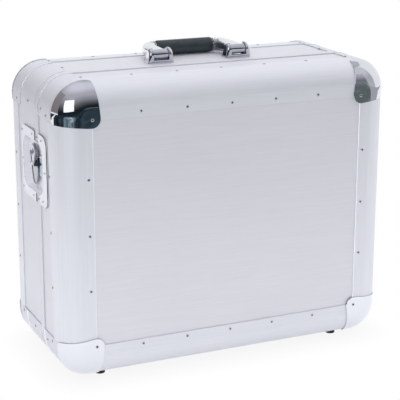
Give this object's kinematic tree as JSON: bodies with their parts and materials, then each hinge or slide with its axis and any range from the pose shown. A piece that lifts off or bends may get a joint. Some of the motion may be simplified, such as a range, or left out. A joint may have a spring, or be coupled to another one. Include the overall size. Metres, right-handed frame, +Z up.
{
  "type": "turntable case",
  "caption": "Upright case of boards in aluminium edge extrusions with chrome corner caps, recessed butterfly latches, a folding top handle and a hinged lid.",
  "frame": {"origin": "on the floor, under the middle of the case as it stands on its feet", "axes": "+X along the case's width, +Y from the lid's face to the back, +Z up"},
  "size_m": [0.5324, 0.2402, 0.4654],
  "materials": {
    "brushed_skin": "plywood board with a finely brushed aluminium skin",
    "edge_extrusion": "satin anodised extrusion",
    "corner_chrome": "polished chrome plate",
    "plated_hardware": "bright zinc plate",
    "handle_chrome": "plated die casting",
    "grip_plastic": "finely grained moulding",
    "foot_rubber": "matt rubber",
    "foam": "open-cell foam"
  },
  "bodies": {
    "base": {"base_back_panel": "brushed_skin", "base_wall_top": "brushed_skin", "base_wall_bottom": "brushed_skin", "base_wall_left": "brushed_skin", "base_wall_right": "brushed_skin", "base_edge_top": "edge_extrusion", "base_edge_bottom": "edge_extrusion", "base_edge_left": "edge_extrusion", "base_edge_right": "edge_extrusion", "base_corner_plate_top_left": "edge_extrusion", "base_corner_plate_top_right": "edge_extrusion", "base_corner_plate_bottom_left": "edge_extrusion", "base_corner_plate_bottom_right": "edge_extrusion", "base_corner_cap_top_left": "corner_chrome", "base_corner_cap_top_right": "corner_chrome", "base_corner_cap_bottom_left": "corner_chrome", "base_corner_cap_bottom_right": "corner_chrome", "base_closing_frame": "edge_extrusion", "base_foam_insert": "foam", "base_foot_left": "foot_rubber", "base_foot_right": "foot_rubber", "hinge_base_leaf_left": "plated_hardware", "hinge_base_leaf_right": "plated_hardware", "latch_dish_left": "plated_hardware", "latch_dish_right": "plated_hardware", "handle_bracket_left": "handle_chrome", "handle_bracket_right": "handle_chrome"},
    "lid": {"lid_front_panel": "brushed_skin", "lid_wall_top": "brushed_skin", "lid_wall_bottom": "brushed_skin", "lid_wall_left": "brushed_skin", "lid_wall_right": "brushed_skin", "lid_edge_top": "edge_extrusion", "lid_edge_bottom": "edge_extrusion", "lid_edge_left": "edge_extrusion", "lid_edge_right": "edge_extrusion", "lid_corner_plate_top_left": "edge_extrusion", "lid_corner_plate_top_right": "edge_extrusion", "lid_corner_plate_bottom_left": "edge_extrusion", "lid_corner_plate_bottom_right": "edge_extrusion", "lid_corner_cap_top_left": "corner_chrome", "lid_corner_cap_top_right": "corner_chrome", "lid_corner_cap_bottom_left": "corner_chrome", "lid_corner_cap_bottom_right": "corner_chrome", "lid_foam_pad": "foam", "lid_foot_left": "foot_rubber", "lid_foot_right": "foot_rubber", "hinge_lid_leaf_left": "plated_hardware", "hinge_lid_leaf_right": "plated_hardware", "latch_keeper_left": "plated_hardware", "latch_keeper_right": "plated_hardware"},
    "handle": {"handle_grip": "grip_plastic", "handle_arm_left": "handle_chrome", "handle_arm_right": "handle_chrome"},
    "rotor_left": {"latch_rotor_left": "plated_hardware"},
    "rotor_right": {"latch_rotor_right": "plated_hardware"},
    "wing_left": {"latch_wing_left": "plated_hardware"},
    "wing_right": {"latch_wing_right": "plated_hardware"},
    "hook_left": {"latch_hook_left": "plated_hardware"},
    "hook_right": {"latch_hook_right": "plated_hardware"}
  },
  "joints": [
    {"name": "lid_hinge", "type": "hinge", "parent": "base", "child": "lid", "pos_m": [0, -0.0348, 0.003], "axis": [1, 0, 0], "range_deg": [0, 105]},
    {"name": "handle_fold", "type": "hinge", "parent": "base", "child": "handle", "pos_m": [0, 0.0014, 0.4545], "axis": [1, 0, 0], "range_deg": [0, 90]},
    {"name": "rotor_turn_left", "type": "hinge", "parent": "base", "child": "rotor_left", "pos_m": [-0.265, -0.0006, 0.30775], "axis": [-1, 0, 0], "range_deg": [0, 180]},
    {"name": "rotor_turn_right", "type": "hinge", "parent": "base", "child": "rotor_right", "pos_m": [0.265, -0.0006, 0.30775], "axis": [1, 0, 0], "range_deg": [0, 180]},
    {"name": "wing_fold_left", "type": "hinge", "parent": "rotor_left", "child": "wing_left", "pos_m": [-0.264, -0.0006, 0.30775], "axis": [0, -1, 0], "range_deg": [0, 90]},
    {"name": "wing_fold_right", "type": "hinge", "parent": "rotor_right", "child": "wing_right", "pos_m": [0.264, -0.0006, 0.30775], "axis": [0, 1, 0], "range_deg": [0, 90]},
    {"name": "hook_slide_left", "type": "slide", "parent": "base", "child": "hook_left", "axis": [0, -1, 0], "range_m": [0, 0.007]},
    {"name": "hook_slide_right", "type": "slide", "parent": "base", "child": "hook_right", "axis": [0, -1, 0], "range_m": [0, 0.007]}
  ],
  "couplings": [
    {"joint": "hook_slide_left", "follows": "rotor_turn_left", "m_per_rad": 0.002228},
    {"joint": "hook_slide_right", "follows": "rotor_turn_right", "m_per_rad": 0.002228}
  ]
}
